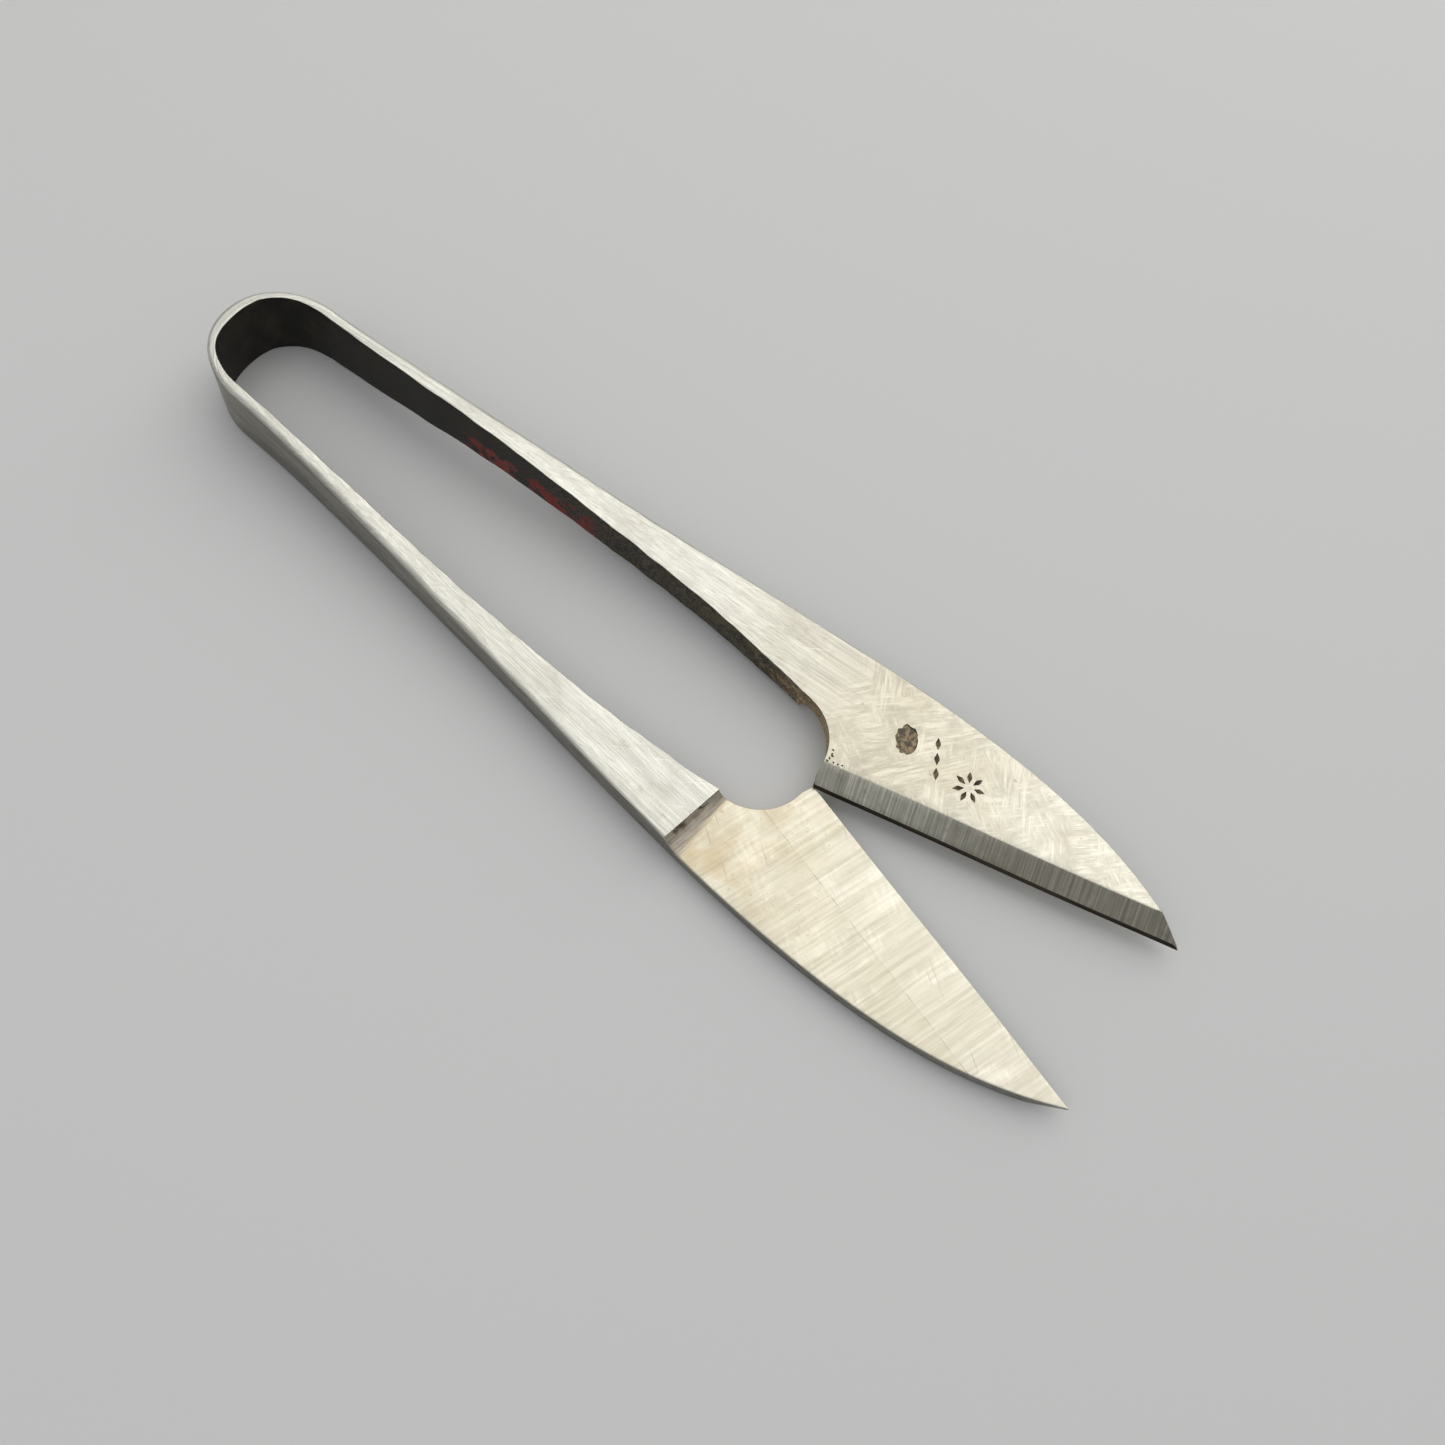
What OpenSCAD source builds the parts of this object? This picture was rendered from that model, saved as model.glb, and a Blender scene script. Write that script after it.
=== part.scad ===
// U-bow spring snips: one forged bar bent into a spring bow, with two arms and
// two short blades that cross when the arms are squeezed.
//
// X runs from the round end of the bow to the tips, Z is up, and the snips lie
// flat on z = 0. The blades meet at a level shear plane. The "upper" limb is
// the +Y one, whose blade slides over the shear plane, and the "lower" limb is
// the -Y one, whose blade slides under it.

/* [Lengths] */
// Depth of the round end of the bow, outside
bow_l = 7.8; // [6.5:0.1:9.5]
// Bow end to the shoulder, which is the filed step where a blade begins
arm_l = 57.6; // [48:0.1:70]
// Shoulder to the heel of the blade
heel_l = 6.2; // [5.1:0.1:7.5]
// Heel to tip, measured along X
blade_l = 33.4; // [27.8:0.1:41]
// Length of the crown, the part of the bow that hardly bends
crown_l = 4; // [3:0.1:5]
// Bow end to the end of the bending part of a leg
leg_l = 12.2; // [10:0.1:15]

/* [Widths, half of the whole] */
// Outer half width of the bow
bow_half_w = 6.6; // [5.5:0.1:8]
// Outer half width at the middle of an arm
arm_half_w = 9.7; // [9:0.1:11.6]
// Outer half width at the widest part of a blade
blade_half_w = 13.5; // [12.5:0.1:16.2]
// Half of the opening between the tips
tip_half_w = 8.7; // [7.3:0.1:10.4]
// Inner half width at the middle of an arm
arm_inner_w = 6.8; // [6:0.1:7.4]
// How far a heel reaches past the centre line, so that the heels stay crossed
heel_lap = 0.1; // [0.05:0.05:0.4]

/* [Walls and heights] */
// Wall of the bow at its crown
crown_wall = 1.35; // [1.1:0.05:1.7]
// Wall of the bow where the legs begin
leg_wall = 1.15; // [0.95:0.05:1.4]
// Height of the band at the crown
crown_h = 7.4; // [6.2:0.1:8.9]
// Height of the band where the legs begin
bow_h = 7.1; // [6:0.1:8.5]
// Height of an arm at its grip
grip_h = 5.1; // [4.3:0.1:6.1]
// Height of an arm at its neck, before the shoulder
neck_h = 3.7; // [3.2:0.1:4.4]
// Height of an arm at its shoulder
arm_h = 3.1; // [2.9:0.1:3.4]
// How far the upper arm stands clear of the table at its grip
grip_rise = 1.5; // [1.2:0.1:1.8]
// How far the upper arm stands clear of the table at its neck
neck_rise = 0.85; // [0.7:0.05:1]
// Thickness of a blade near its heel
blade_t = 1.8; // [1.5:0.05:2.2]
// Thickness of a blade at its tip
tip_t = 1.6; // [1.3:0.05:1.95]
// Clearance between the two blades at the shear plane
shear_gap = 0.1; // [0.06:0.01:0.2]

/* [Gullet, shoulder and edge] */
// Radius of the gullet between an arm and its heel
gullet_r = 5.1; // [4.2:0.1:5.5]
// Slope of the arm where it runs into the gullet, in degrees
gullet_lead = 8; // [5:1:12]
// How far the gullet wall leans forward to the heel
heel_lean = 0.45; // [0.2:0.05:0.8]
// Where the round of the gullet ends, from the centre line
gullet_foot = 0.8; // [0.5:0.05:1.2]
// Height of the sharp step at the top of the shoulder
step_h = 0.4; // [0.3:0.05:0.5]
// Length of the hollow that is filed from the step to the flat
hollow_l = 2.1; // [1.7:0.1:2.6]
// Width of the ground bevel
bevel_w = 2.15; // [1.8:0.05:2.6]
// Width of the steep face that is honed along the edge
hone_w = 0.2; // [0.1:0.05:0.3]
// Height of that honed face
hone_h = 0.45; // [0.3:0.05:0.6]
// Thickness left at the cutting edge
edge_land = 0.08; // [0.05:0.01:0.15]
// Width of the hard-steel facing, from the edge
steel_w = 5; // [4:0.1:6]
// Thickness of the hard-steel facing
steel_t = 0.7; // [0.55:0.05:0.85]

/* [Hidden] */
$fn = 96;

// Stations along X, from the round end
leg_x = bow_l + leg_l;
shoulder_x = bow_l + arm_l;
heel_x = shoulder_x + heel_l;
tip_x = heel_x + blade_l;
mid_arm_x = bow_l + arm_l * 0.56;
wide_x = heel_x + blade_l * 0.26;
grip_x = bow_l + arm_l * 0.37;
neck_x = bow_l + arm_l * 0.77;

// Levels along Z
shear_z = blade_t + shear_gap / 2;
upper_flat_z = shear_z + shear_gap / 2;
limb_rise = 2 * shear_z - arm_h;
margin = 5;
block_h = crown_h + grip_rise + margin;
steps = 24;

// The gullet starts on the arm with a slope of gullet_lead
gullet_end_x = heel_x - heel_lean;
gullet_x = gullet_end_x - gullet_r * (1 - sin(gullet_lead));
gullet_w = gullet_foot + gullet_r * cos(gullet_lead);
edge_angle = atan2(tip_half_w + heel_lap, blade_l);

// Shape curves: each knot is [x, value, slope]
outer_knots = [[bow_l, bow_half_w, 0.045],
               [mid_arm_x, arm_half_w, 0.112],
               [wide_x, blade_half_w, 0],
               [tip_x, tip_half_w, -0.5]];
inner_knots = [[bow_l, bow_half_w - leg_wall, 0.02],
               [mid_arm_x, arm_inner_w, 0.02],
               [gullet_x, gullet_w, -tan(gullet_lead)]];
height_knots = [[0, crown_h, 0],
                [bow_l, bow_h, -0.08],
                [grip_x, grip_h, -0.085],
                [neck_x, neck_h, -0.035],
                [shoulder_x, arm_h, -0.02]];
rise_knots = [[crown_l, 0, 0.03],
              [grip_x, grip_rise, 0],
              [neck_x, neck_rise, -0.02],
              [shoulder_x, limb_rise, -0.01]];

// Power of the blunt oval inside the bow, where 2 would be a plain ellipse
inner_power = 2.4;

function blend(a, b, x) =
    let (w = b[0] - a[0], t = (x - a[0]) / w, u = 1 - t)
    a[1] * u * u * (1 + 2 * t) + b[1] * t * t * (3 - 2 * t)
    + w * t * u * (a[2] * u - b[2] * t);

function curve(knots, x, i = 0) =
    x < knots[0][0] ? knots[0][1]
    : i == len(knots) - 2 || x <= knots[i + 1][0] ? blend(knots[i], knots[i + 1], x)
    : curve(knots, x, i + 1);

function span(a, b, n = steps) = [for (i = [0:n]) a + (b - a) * i / n];
function mirrored(points) = [for (i = [len(points) - 1:-1:0]) [points[i][0], -points[i][1]]];
function backwards(points) = [for (i = [len(points) - 1:-1:0]) points[i]];

// Outer and inner outlines of the bow, from the centre line to where a leg begins
function bow_outer() = [for (a = span(0, 90))
    [bow_l * (1 - cos(a)), bow_half_w * sin(a)]];
function bow_inner() = [for (a = span(0, 90))
    [bow_l - (bow_l - crown_wall) * pow(cos(a), 2 / inner_power),
     (bow_half_w - leg_wall) * pow(sin(a), 2 / inner_power)]];

// Outer and inner outlines of a limb, from the leg to the tip
function limb_outer() = [for (x = span(bow_l, tip_x, 3 * steps)) [x, curve(outer_knots, x)]];
function limb_inner() = [for (x = span(bow_l, gullet_x, 2 * steps)) [x, curve(inner_knots, x)]];
function gullet() = [for (a = span(90 - gullet_lead, 0))
    [gullet_end_x - gullet_r * (1 - cos(a)), gullet_foot + gullet_r * sin(a)]];

// The bow and both legs in plan
module bow_plan() {
    outer = concat(bow_outer(), [for (p = limb_outer()) if (p[0] > bow_l && p[0] < shoulder_x) p]);
    inner = concat(bow_inner(), [for (p = limb_inner()) if (p[0] > bow_l && p[0] < shoulder_x) p]);
    polygon(concat(mirrored(outer), outer, backwards(inner), backwards(mirrored(inner))));
}

// One limb in plan, on the +Y side, from the leg to the tip
module limb_plan() {
    inner = concat(limb_inner(), gullet(), [[heel_x, -heel_lap]]);
    polygon(concat(limb_outer(), backwards(inner)));
}

// Draws its child, which lies in XZ, as a slab that is wide enough for the whole part
module across() {
    translate([0, 2 * blade_half_w, 0]) rotate([90, 0, 0]) linear_extrude(4 * blade_half_w) children();
}

// The side view of the bow, the lower leg and the lower arm
module low_side(a, b) {
    top = [for (x = span(a, b)) [x, curve(height_knots, x)]];
    across() polygon(concat([[a, 0]], [[b, 0]], backwards(top)));
}

// The side view of the upper leg and arm, which stand clear of the table
module high_side(a, b) {
    top = [for (x = span(a, b)) [x, curve(height_knots, x) + curve(rise_knots, x)]];
    bottom = [for (x = span(a, b)) [x, curve(rise_knots, x)]];
    across() polygon(concat(bottom, backwards(top)));
}

// The side view of a blade, whose flat is at z = 0, whose back grows thinner to
// the tip, and whose shoulder is filed hollow. Flat side up.
module blade_side() {
    fall = arm_h - blade_t - step_h;
    hollow_r = (hollow_l * hollow_l + fall * fall) / (2 * fall);
    difference() {
        across() polygon([[shoulder_x, -blade_t], [wide_x, -blade_t], [tip_x, -tip_t],
                          [tip_x, 0], [shoulder_x + hollow_l, 0],
                          [shoulder_x + hollow_l, fall / 2], [shoulder_x, fall]]);
        translate([shoulder_x + hollow_l, 2 * blade_half_w, hollow_r])
            rotate([90, 0, 0]) cylinder(r = hollow_r, h = 4 * blade_half_w);
    }
}

// Everything outside the ground bevel and the honed face, flat side up, cut away along the edge
module bevel_cut() {
    translate([heel_x, -heel_lap, 0]) rotate([0, 0, edge_angle])
        translate([-heel_l, 0, 0]) rotate([90, 0, 90]) linear_extrude(blade_l + 2 * heel_l)
            polygon([[-margin, -edge_land], [0, -edge_land], [hone_w, -hone_h],
                     [bevel_w, -blade_t], [bevel_w, -blade_t - margin],
                     [-margin, -blade_t - margin]]);
}

// The room of the hard-steel facing, flat side up
module steel_room() {
    translate([heel_x, -heel_lap, 0]) rotate([0, 0, edge_angle])
        translate([-heel_l, -margin, -steel_t])
            cube([blade_l + 2 * heel_l, margin + steel_w, steel_t + margin]);
}

// A whole blade with its facing, on the +Y side with its flat up at z = 0
module blade_blank() {
    difference() {
        intersection() {
            translate([0, 0, -margin]) linear_extrude(2 * margin) limb_plan();
            blade_side();
        }
        bevel_cut();
    }
}

module blade_iron() {
    difference() {
        blade_blank();
        steel_room();
    }
}

module blade_steel() {
    intersection() {
        blade_blank();
        steel_room();
    }
}

// Puts a +Y piece that has its flat up at z = 0 in its place on one limb
module lower_place() {
    translate([-tip_x / 2, 0, blade_t]) mirror([0, 1, 0]) children();
}

module upper_place() {
    translate([-tip_x / 2, 0, upper_flat_z]) mirror([0, 0, 1]) children();
}

// The part's origin is under the middle of its length
module centred() {
    translate([-tip_x / 2, 0, 0]) children();
}

module bow_crown() {
    color("silver") centred() intersection() {
        linear_extrude(block_h) bow_plan();
        low_side(0, crown_l);
    }
}

// One leg on the +Y side, with its side view as the child
module spring_leg() {
    intersection() {
        linear_extrude(block_h) bow_plan();
        children();
        translate([0, 0, -margin]) cube([tip_x, 2 * blade_half_w, block_h + margin]);
    }
}

module upper_spring_leg() {
    color("lightgray") centred() spring_leg() high_side(crown_l, leg_x);
}

module lower_spring_leg() {
    color("lightgray") centred() mirror([0, 1, 0]) spring_leg() low_side(crown_l, leg_x);
}

module upper_arm() {
    color("silver") centred() intersection() {
        linear_extrude(block_h) limb_plan();
        high_side(leg_x, shoulder_x);
    }
}

module lower_arm() {
    color("silver") centred() mirror([0, 1, 0]) intersection() {
        linear_extrude(block_h) limb_plan();
        low_side(leg_x, shoulder_x);
    }
}

module upper_blade() {
    color("lightgray") upper_place() blade_iron();
}

module lower_blade() {
    color("beige") lower_place() blade_iron();
}

module upper_edge_steel() {
    color("dimgray") upper_place() blade_steel();
}

module lower_edge_steel() {
    color("ivory") lower_place() blade_steel();
}

bow_crown();
upper_spring_leg();
lower_spring_leg();
upper_arm();
lower_arm();
upper_blade();
lower_blade();
upper_edge_steel();
lower_edge_steel();
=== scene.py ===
# %% [markdown]
# # Spring snips, from a fixed frame to a finished picture
# These snips are one forged bar: a spring bow, two arms and two short blades that cross
# when the arms are squeezed. The CAD frame already holds every size and both joints. This
# lesson builds the visible surfaces around that frame: it measures the frame with rays,
# lofts rounded cross-sections along it, and then gives each face the finish that the
# smith's file, stone or hammer left there.

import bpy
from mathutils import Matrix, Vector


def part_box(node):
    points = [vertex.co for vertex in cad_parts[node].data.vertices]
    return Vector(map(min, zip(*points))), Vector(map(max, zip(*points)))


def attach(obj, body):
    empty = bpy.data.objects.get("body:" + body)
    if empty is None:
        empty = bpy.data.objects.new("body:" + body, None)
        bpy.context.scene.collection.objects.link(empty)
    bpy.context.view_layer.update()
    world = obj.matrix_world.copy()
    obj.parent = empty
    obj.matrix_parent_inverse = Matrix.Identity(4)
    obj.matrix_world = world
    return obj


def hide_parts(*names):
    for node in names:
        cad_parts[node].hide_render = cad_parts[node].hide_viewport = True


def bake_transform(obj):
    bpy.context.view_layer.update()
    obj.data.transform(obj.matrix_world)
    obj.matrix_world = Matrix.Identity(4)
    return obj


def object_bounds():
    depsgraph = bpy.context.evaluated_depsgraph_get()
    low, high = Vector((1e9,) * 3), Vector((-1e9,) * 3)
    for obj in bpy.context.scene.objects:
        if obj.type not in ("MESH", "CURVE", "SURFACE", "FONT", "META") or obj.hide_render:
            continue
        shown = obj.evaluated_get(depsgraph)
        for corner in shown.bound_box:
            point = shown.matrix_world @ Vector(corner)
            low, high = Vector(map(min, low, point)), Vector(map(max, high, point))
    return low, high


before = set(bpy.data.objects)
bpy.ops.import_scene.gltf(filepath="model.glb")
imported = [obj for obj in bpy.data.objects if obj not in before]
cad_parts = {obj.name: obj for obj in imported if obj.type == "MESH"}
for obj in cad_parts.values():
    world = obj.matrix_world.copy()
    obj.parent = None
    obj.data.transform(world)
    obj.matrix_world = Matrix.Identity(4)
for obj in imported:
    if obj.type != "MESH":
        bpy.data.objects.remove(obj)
cad_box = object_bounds()

# %% Helpers from Blender and Python
import bisect
import math

import bmesh
import bpy
import numpy as np
from mathutils import Matrix, Quaternion, Vector, noise
from mathutils.bvhtree import BVHTree

# %% [markdown]
# ## Working in millimetres from the round end
# The frame is in metres with its origin under the middle. A smith would measure from the
# round end of the bow, so the shape code does too, and only the last step turns a point
# into the frame's metres. Plan points and heights are both in millimetres.

# %% Two ways to write a place
MM = 0.001
LENGTH = (cad_box[1].x - cad_box[0].x) / MM


def from_end(place):
    """A point of the frame, in millimetres from the round end."""
    return Vector((place.x / MM + LENGTH / 2, place.y / MM, place.z / MM))


def to_frame(x, y, z):
    """The same point back in the frame's metres."""
    return Vector((x - LENGTH / 2, y, z)) * MM


def node_box(node):
    """The lowest and highest corners of a CAD node, in millimetres from the round end."""
    low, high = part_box(node)
    return from_end(low), from_end(high)


CROWN_END = node_box("bow_crown")[1].x
LEG_END = node_box("upper_spring_leg")[1].x
SHOULDER = node_box("upper_arm")[1].x
print("length", round(LENGTH, 2), "stations", round(CROWN_END, 2), round(LEG_END, 2), round(SHOULDER, 2))

# %% [markdown]
# ## Measuring the frame with rays
# The outlines could be typed in again, but then they would stop matching the frame when a
# size changes. Rays shot at the CAD surface give the real inner wall, outer wall, top and
# bottom at each station. The CAD curves come as short flats, so a fair curve goes through
# measurements that are a few millimetres apart and brings the smooth shape back.

# %% A fair curve through measured points


class Fair:
    """A smooth curve through (place, value) points, carried on straight past its ends."""

    def __init__(self, points):
        self.at, self.value = zip(*sorted(points))
        rise = [
            (self.value[i + 1] - self.value[i]) / (self.at[i + 1] - self.at[i])
            for i in range(len(self.at) - 1)
        ]
        inner = [(a + b) / 2 for a, b in zip(rise, rise[1:])]
        self.slope = [rise[0], *inner, rise[-1]]

    def __call__(self, x):
        if x <= self.at[0]:
            return self.value[0] + self.slope[0] * (x - self.at[0])
        if x >= self.at[-1]:
            return self.value[-1] + self.slope[-1] * (x - self.at[-1])
        i = bisect.bisect_right(self.at, x) - 1
        gap = self.at[i + 1] - self.at[i]
        t = (x - self.at[i]) / gap
        u = 1 - t
        start = self.value[i] * u * u * (1 + 2 * t)
        end = self.value[i + 1] * t * t * (3 - 2 * t)
        return start + end + gap * t * u * (self.slope[i] * u - self.slope[i + 1] * t)


def steps(a, b, size):
    """Even places from a to b, about that size apart."""
    count = max(1, round(abs(b - a) / size))
    return [a + (b - a) * i / count for i in range(count + 1)]


# %% Rays against a few CAD nodes


def skin(*nodes):
    """The surface of some CAD nodes, ready for rays, in millimetres from the round end."""
    points, faces = [], []
    for name in nodes:
        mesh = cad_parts[name].data
        first = len(points)
        points += [from_end(v.co) for v in mesh.vertices]
        faces += [[first + i for i in f.vertices] for f in mesh.polygons]
    return BVHTree.FromPolygons(points, faces)


def hit(surface, origin, direction):
    """The first point of the surface that a ray meets."""
    found = surface.ray_cast(Vector(origin), Vector(direction))[0]
    if found is None:
        raise ValueError(f"no surface from {tuple(origin)} along {tuple(direction)}")
    return found


# %% [markdown]
# ## The two limbs
# A limb is half of the bow, a leg, an arm and a blade, all on one side. The +Y limb has its
# blade's flat face underneath, and the -Y limb has it on top, so that the two flats meet at
# the shear plane. One class measures both: seen from inside the bow the wall is measured
# round an eye point, along the arm it is measured straight across, and in the gullet it is
# measured round a second eye.

# %% Measure a limb
FAR = 60
BOW_EYE = 8
NEAR_FACE = 0.05
HONE_PROBES = (0.05, 0.15)
GROUND_PROBES = (0.8, 1.6)


class Limb:
    """One side of the snips, as curves measured on its CAD nodes."""

    def __init__(self, word, side):
        self.side = side
        self.face_up = side < 0
        arm, leg = word + "_arm", word + "_spring_leg"
        blade, steel = word + "_blade", word + "_edge_steel"
        self.skin = skin("bow_crown", leg, arm, blade, steel)
        low, high = node_box(steel)
        self.flat = high.z if self.face_up else low.z
        self.steel_t = high.z - low.z
        self.level = self.flat + (-NEAR_FACE if self.face_up else NEAR_FACE)
        corners = [from_end(v.co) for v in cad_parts[steel].data.vertices]
        self.heel = min(corners, key=lambda p: p.y * side).xy
        self.tip = max(corners, key=lambda p: p.x).xy
        self.along = (self.tip - self.heel).normalized()
        self.inward = Vector((-self.along.y, self.along.x)) * side
        self.steel_w = max(self.from_edge(p.xy) for p in corners)
        self.measure_bow()
        self.measure_limb()
        self.measure_bevel()

    def from_edge(self, place):
        """Distance of a plan point from the line of the cutting edge."""
        return (place - self.heel).dot(self.inward)

    def back_at(self, place):
        """Height of the side away from the flat face, at a plan point."""
        toward = 1 if self.face_up else -1
        return hit(self.skin, (*place, -toward * FAR), (0, 0, toward)).z

    def measure_bow(self):
        inside, outside = [], []
        for turn in [math.radians(a) for a in steps(0, 90, 7.5)]:
            out = Vector((-math.cos(turn), self.side * math.sin(turn), 0))
            eye = Vector((BOW_EYE, 0, self.level))
            inside.append((turn, (hit(self.skin, eye, out) - eye).length))
            outside.append((turn, (hit(self.skin, eye + out * FAR, -out) - eye).length))
        self.bow_in, self.bow_out = Fair(inside), Fair(outside)

    def measure_limb(self):
        across = Vector((0, self.side, 0))
        wall = hit(self.skin, (SHOULDER - FAR / 2, self.side, self.level), (1, 0, 0)).x
        reach = abs(hit(self.skin, (SHOULDER, 0, self.level), across).y) - 1
        self.gullet_eye = Vector((wall - reach, self.side))
        inner = [(x, abs(hit(self.skin, (x, 0, self.level), across).y))
                 for x in steps(BOW_EYE, self.gullet_eye.x, 3)]
        outer = [(x, abs(hit(self.skin, across * FAR + Vector((x, 0, self.level)), -across).y))
                 for x in steps(BOW_EYE, self.tip.x - 0.4, 3)]
        self.inner, self.outer = Fair(inner), Fair(outer + [(self.tip.x, abs(self.tip.y))])
        eye = Vector((*self.gullet_eye, self.level))
        gullet = []
        for turn in [math.radians(a) for a in steps(0, 90, 7.5)]:
            out = Vector((math.cos(turn), self.side * math.sin(turn), 0))
            gullet.append((turn, (hit(self.skin, eye, out) - eye).length))
        self.gullet = Fair(gullet)
        middles = [self.bow_wall(math.radians(a)) for a in (0, 25, 50, 75)]
        places = [(p + q) / 2 for p, q in middles]
        places += [Vector((x, self.side * (self.inner(x) + self.outer(x)) / 2))
                   for x in steps(BOW_EYE + 1, SHOULDER - 0.2, 4)]
        blade = [Vector((x, self.side * (self.outer(x) - 0.9)))
                 for x in steps(SHOULDER + 3, LENGTH - 5, 4)]
        top = Fair([(p.x, hit(self.skin, (*p, FAR), (0, 0, -1)).z) for p in places])
        bottom = Fair([(p.x, hit(self.skin, (*p, -FAR), (0, 0, 1)).z) for p in places])
        bar_back, self.front = (bottom, top) if self.face_up else (top, bottom)
        self.back = Fair(list(zip(bar_back.at, bar_back.value)) + [(p.x, self.back_at(p)) for p in blade])

    def measure_bevel(self):
        middle = (self.heel + self.tip) / 2

        def thick(distance):
            return abs(self.back_at(middle + self.inward * distance) - self.flat)

        hone_a, hone_b = HONE_PROBES
        ground_a, ground_b = GROUND_PROBES
        honed = (thick(hone_b) - thick(hone_a)) / (hone_b - hone_a)
        ground = (thick(ground_b) - thick(ground_a)) / (ground_b - ground_a)
        self.land = thick(hone_a) - honed * hone_a
        self.hone_w = (thick(ground_a) - ground * ground_a - self.land) / (honed - ground)
        self.hone_h = self.land + honed * self.hone_w
        full = abs(self.back(middle.x) - self.flat)
        self.bevel_w = self.hone_w + (full - self.hone_h) / ground

    def bow_wall(self, turn):
        """Inner and outer plan points of the bow, at an angle from its round end."""
        out = Vector((-math.cos(turn), self.side * math.sin(turn)))
        eye = Vector((BOW_EYE, 0))
        return eye + out * self.bow_in(turn), eye + out * self.bow_out(turn)


upper, lower = Limb("upper", 1), Limb("lower", -1)
for limb in (upper, lower):
    print("flat", round(limb.flat, 3), "heel", tuple(limb.heel), "tip", tuple(limb.tip),
          "steel", round(limb.steel_w, 2), round(limb.steel_t, 2),
          "bevel", round(limb.bevel_w, 2), "hone", round(limb.hone_w, 2), round(limb.hone_h, 2))

# %% [markdown]
# ## Stations along the bar
# A station is a pair of plan points, one on the inner wall and one on the outer wall, and a
# cross-section will stand on the line between them. A hammered and filed bar is never quite
# true, so each point wanders a few hundredths of a millimetre. The wander depends only on
# the place, which lets two neighbouring pieces meet on exactly the same ring.

# %% Plan points with the smith's wander
STEP_SKEW = 0.85
STEP_LEAD = 0.2
SKEW_RUN = 5


def wander(x, y, reach, size):
    """A smooth offset of at most about that size, over about that reach, in millimetres."""
    return size * noise.noise(Vector((x / reach, y / reach, 0.5)))


def forged(p, q, fade=1.0):
    """The two plan points, moved a little along the line between them."""
    out = (q - p).normalized()
    inner = wander(p.x, p.y, 2.2, 0.09) + wander(p.x, p.y, 0.8, 0.035)
    outer = wander(q.x, q.y, 9, 0.06) - 0.03
    return p + out * inner * fade, q + out * outer * fade


def bow_station(limb, turn):
    return forged(*limb.bow_wall(turn))


def bar_station(limb, x):
    """A station of a leg or an arm. Near the shoulder it turns to the skew of the step."""
    near = min(max((x - SHOULDER + SKEW_RUN) / SKEW_RUN, 0), 1)
    skew = near * near * (3 - 2 * near)
    xi = x + STEP_LEAD * skew
    xo = x - (STEP_SKEW - STEP_LEAD) * skew
    p = Vector((xi, limb.side * limb.inner(xi)))
    q = Vector((xo, limb.side * limb.outer(xo)))
    return forged(p, q, 1 - 0.7 * near)


# %% [markdown]
# ## Stations across a blade
# The inner path of a blade runs round the gullet, down to the heel and then along the edge.
# The outer path is one long curve. Both are cut into the same number of steps and joined in
# pairs, like the ribs of a fan, so that the mesh has clean quads all the way to the tip.
# The edge isn't a ruler line: stoning has left a slight hollow near the heel and a slight
# belly before the tip.

# %% Fan of blade stations
BELLY = 0.304
BELLY_TURN = 0.32
TIP_END = 0.9965
TIP_RUN = 12
EDGE_STEP = 0.011
GULLET_TURN = 3
HOLLOW_STEP = 0.1


def belly(share):
    """How far the cutting edge stands out from a straight line, from the heel to the tip."""
    return BELLY * math.sin(math.pi * share) ** 2 * (share - BELLY_TURN)


def edge_point(limb, share):
    """A point of the cutting edge, from the heel at 0 to the tip at 1."""
    return limb.heel.lerp(limb.tip, share) - limb.inward * belly(share)


def off_edge(limb, place):
    """Distance of a plan point from the cutting edge itself."""
    share = (place - limb.heel).dot(limb.along) / (limb.tip - limb.heel).length
    return limb.from_edge(place) + belly(min(max(share, 0), 1))


def blade_stations(limb):
    first, last = bar_station(limb, SHOULDER)
    inner = []
    for x in steps(first.x, limb.gullet_eye.x, HOLLOW_STEP)[1:-1]:
        inner.append(Vector((x, limb.side * limb.inner(x))))
    for turn in [math.radians(a) for a in steps(90, 0, GULLET_TURN)]:
        out = Vector((math.cos(turn), limb.side * math.sin(turn)))
        inner.append(limb.gullet_eye + out * limb.gullet(turn))
    inner += [inner[-1].lerp(limb.heel, t) for t in (0.25, 0.5, 0.75)]
    inner += [edge_point(limb, s) for s in steps(0, TIP_END, EDGE_STEP)]
    run = [0.0]
    for a, b in zip([first] + inner, inner):
        run.append(run[-1] + (b - a).length)
    end = limb.tip.x - (1 - TIP_END) * TIP_RUN
    pairs = [(first, last)]
    for length, p in zip(run[1:], inner):
        x = last.x + (end - last.x) * length / run[-1]
        pairs.append((p, Vector((x, limb.side * limb.outer(x)))))
    return pairs


print("blade stations", len(blade_stations(upper)), len(blade_stations(lower)))

# %% [markdown]
# ## Heights: bar, bevel and filed shoulder
# A bar section only needs its low and high surfaces. A blade has more: the ground bevel
# falls from the ridge to the honed face and the edge, and on the flat side the shoulder is
# a small step with a hollow that is filed down to the flat. The step is sharp at the inner
# end and fades out at the outer end, where the file ran off.

# %% Low and high surface at a plan point
STEP_IN = 0.42
STEP_OUT = 0.03
HOLLOW_IN = 0.9
HOLLOW_OUT = 2.2
STEP_FADE = 0.8
HOLLOW_CURVE = 1.7


def bar_heights(limb, place):
    """Low and high surface of the bow, a leg or an arm."""
    dent = 0.5 * abs(wander(place.x, place.y, 5, 0.05))
    if limb.face_up:
        return limb.back(place.x) + dent, limb.front(place.x) - dent
    return limb.front(place.x) + dent, limb.back(place.x) - dent


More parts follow.
